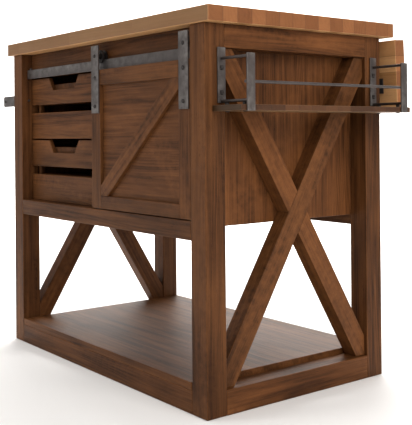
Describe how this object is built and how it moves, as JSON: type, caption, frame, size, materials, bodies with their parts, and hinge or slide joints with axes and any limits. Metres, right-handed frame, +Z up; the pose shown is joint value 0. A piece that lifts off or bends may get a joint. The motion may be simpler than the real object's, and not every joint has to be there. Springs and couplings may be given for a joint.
{
  "type": "kitchen island cart",
  "caption": "Wooden kitchen island cart with X-braced ends, drop-leaf butcher-block top, sliding barn door, pull-out crates, spice rack and towel bar.",
  "frame": {"origin": "bottom centre of the overall box, on the floor, with the leaf hanging and the door and crates closed", "axes": "+X towards the spice rack end, +Y towards the drop leaf at the back, +Z up; the door and crates face -Y"},
  "size_m": [1.176, 0.6628, 0.914],
  "materials": {
    "walnut": "satin dark walnut stain",
    "walnut_inner": "matte dark walnut stain",
    "butcher_block": "oiled butcher block of glued staves",
    "gunmetal": "dark brushed gunmetal",
    "black_steel": "blackened steel"
  },
  "bodies": {
    "cart": {"tabletop": "butcher_block", "post_front_left": "walnut", "post_front_right": "walnut", "post_rear_left": "walnut", "post_rear_right": "walnut", "apron_front": "walnut_inner", "top_rail_back": "walnut", "top_rails_side": "walnut", "mid_rail_front": "walnut", "mid_rail_back": "walnut", "bottom_rails_long": "walnut", "bottom_rails_side": "walnut", "bottom_shelf": "walnut", "brace_left": "walnut", "brace_right": "walnut", "side_panel_left": "walnut", "side_panel_right": "walnut", "back_panel": "walnut_inner", "cabinet_floor": "walnut_inner", "centre_divider": "walnut_inner", "crate_runners": "walnut_inner", "inner_shelf": "walnut_inner", "shelf_pins": "gunmetal", "track_bar": "gunmetal", "track_bolts": "gunmetal", "door_guide": "gunmetal", "leaf_hinges_fixed": "gunmetal", "wall_plates": "black_steel", "towel_brackets": "gunmetal", "towel_rod": "gunmetal", "towel_bolts": "black_steel", "rack_straps": "gunmetal", "rack_bars": "gunmetal", "rack_rods": "gunmetal", "rack_plank": "butcher_block", "rack_screws": "black_steel"},
    "door": {"door_stiles": "walnut", "door_rails": "walnut", "door_panel": "walnut", "door_diagonal": "walnut", "hanger_straps": "gunmetal", "strap_bolts": "black_steel", "roller_axles": "black_steel"},
    "left_roller": {"roller_left": "black_steel"},
    "right_roller": {"roller_right": "black_steel"},
    "lower_crate": {"crate_lower_front": "walnut", "crate_lower_slats": "walnut_inner", "crate_lower_corners": "walnut_inner", "crate_lower_bottom": "walnut_inner"},
    "upper_crate": {"crate_upper_front": "walnut", "crate_upper_slats": "walnut_inner", "crate_upper_corners": "walnut_inner", "crate_upper_bottom": "walnut_inner"},
    "leaf": {"drop_leaf": "butcher_block", "leaf_hinges_moving": "gunmetal", "leaf_lugs": "black_steel"},
    "left_strut": {"strut_left": "gunmetal"},
    "right_strut": {"strut_right": "gunmetal"},
    "left_catch": {"catch_left": "gunmetal"},
    "right_catch": {"catch_right": "gunmetal"}
  },
  "joints": [
    {"name": "door_slide", "type": "slide", "parent": "cart", "child": "door", "axis": [1, 0, 0], "range_m": [-0.41, 0]},
    {"name": "lower_crate_slide", "type": "slide", "parent": "cart", "child": "lower_crate", "axis": [0, -1, 0], "range_m": [0, 0.34]},
    {"name": "upper_crate_slide", "type": "slide", "parent": "cart", "child": "upper_crate", "axis": [0, -1, 0], "range_m": [0, 0.34]},
    {"name": "leaf_swing", "type": "hinge", "parent": "cart", "child": "leaf", "pos_m": [-0.005, 0.28163, 0.874], "axis": [1, 0, 0], "range_deg": [0, 87]},
    {"name": "left_strut_swing", "type": "hinge", "parent": "leaf", "child": "left_strut", "pos_m": [-0.45716, 0.27992, 0.75375], "axis": [-1, 0, 0], "range_deg": [-0.5, 137.47]},
    {"name": "right_strut_swing", "type": "hinge", "parent": "leaf", "child": "right_strut", "pos_m": [0.44716, 0.27992, 0.75375], "axis": [-1, 0, 0], "range_deg": [-0.5, 137.47]},
    {"name": "left_catch_turn", "type": "hinge", "parent": "cart", "child": "left_catch", "pos_m": [-0.47116, 0.25693, 0.74064], "axis": [0, -1, 0], "range_deg": [0, 90]},
    {"name": "right_catch_turn", "type": "hinge", "parent": "cart", "child": "right_catch", "pos_m": [0.43316, 0.25693, 0.74064], "axis": [0, -1, 0], "range_deg": [0, 90]},
    {"name": "left_roller_spin", "type": "hinge", "parent": "door", "child": "left_roller", "pos_m": [0.0075, -0.30807, 0.8385], "axis": [0, 1, 0], "range_deg": [-2768.7, 5]},
    {"name": "right_roller_spin", "type": "hinge", "parent": "door", "child": "right_roller", "pos_m": [0.4045, -0.30807, 0.8385], "axis": [0, 1, 0], "range_deg": [-2768.7, 5]}
  ],
  "couplings": [
    {"joint": "left_strut_swing", "follows": "leaf_swing", "ratio": 1.5744},
    {"joint": "right_strut_swing", "follows": "leaf_swing", "ratio": 1.5744},
    {"joint": "left_roller_spin", "follows": "door_slide", "rad_per_m": 117.65},
    {"joint": "right_roller_spin", "follows": "door_slide", "rad_per_m": 117.65}
  ]
}
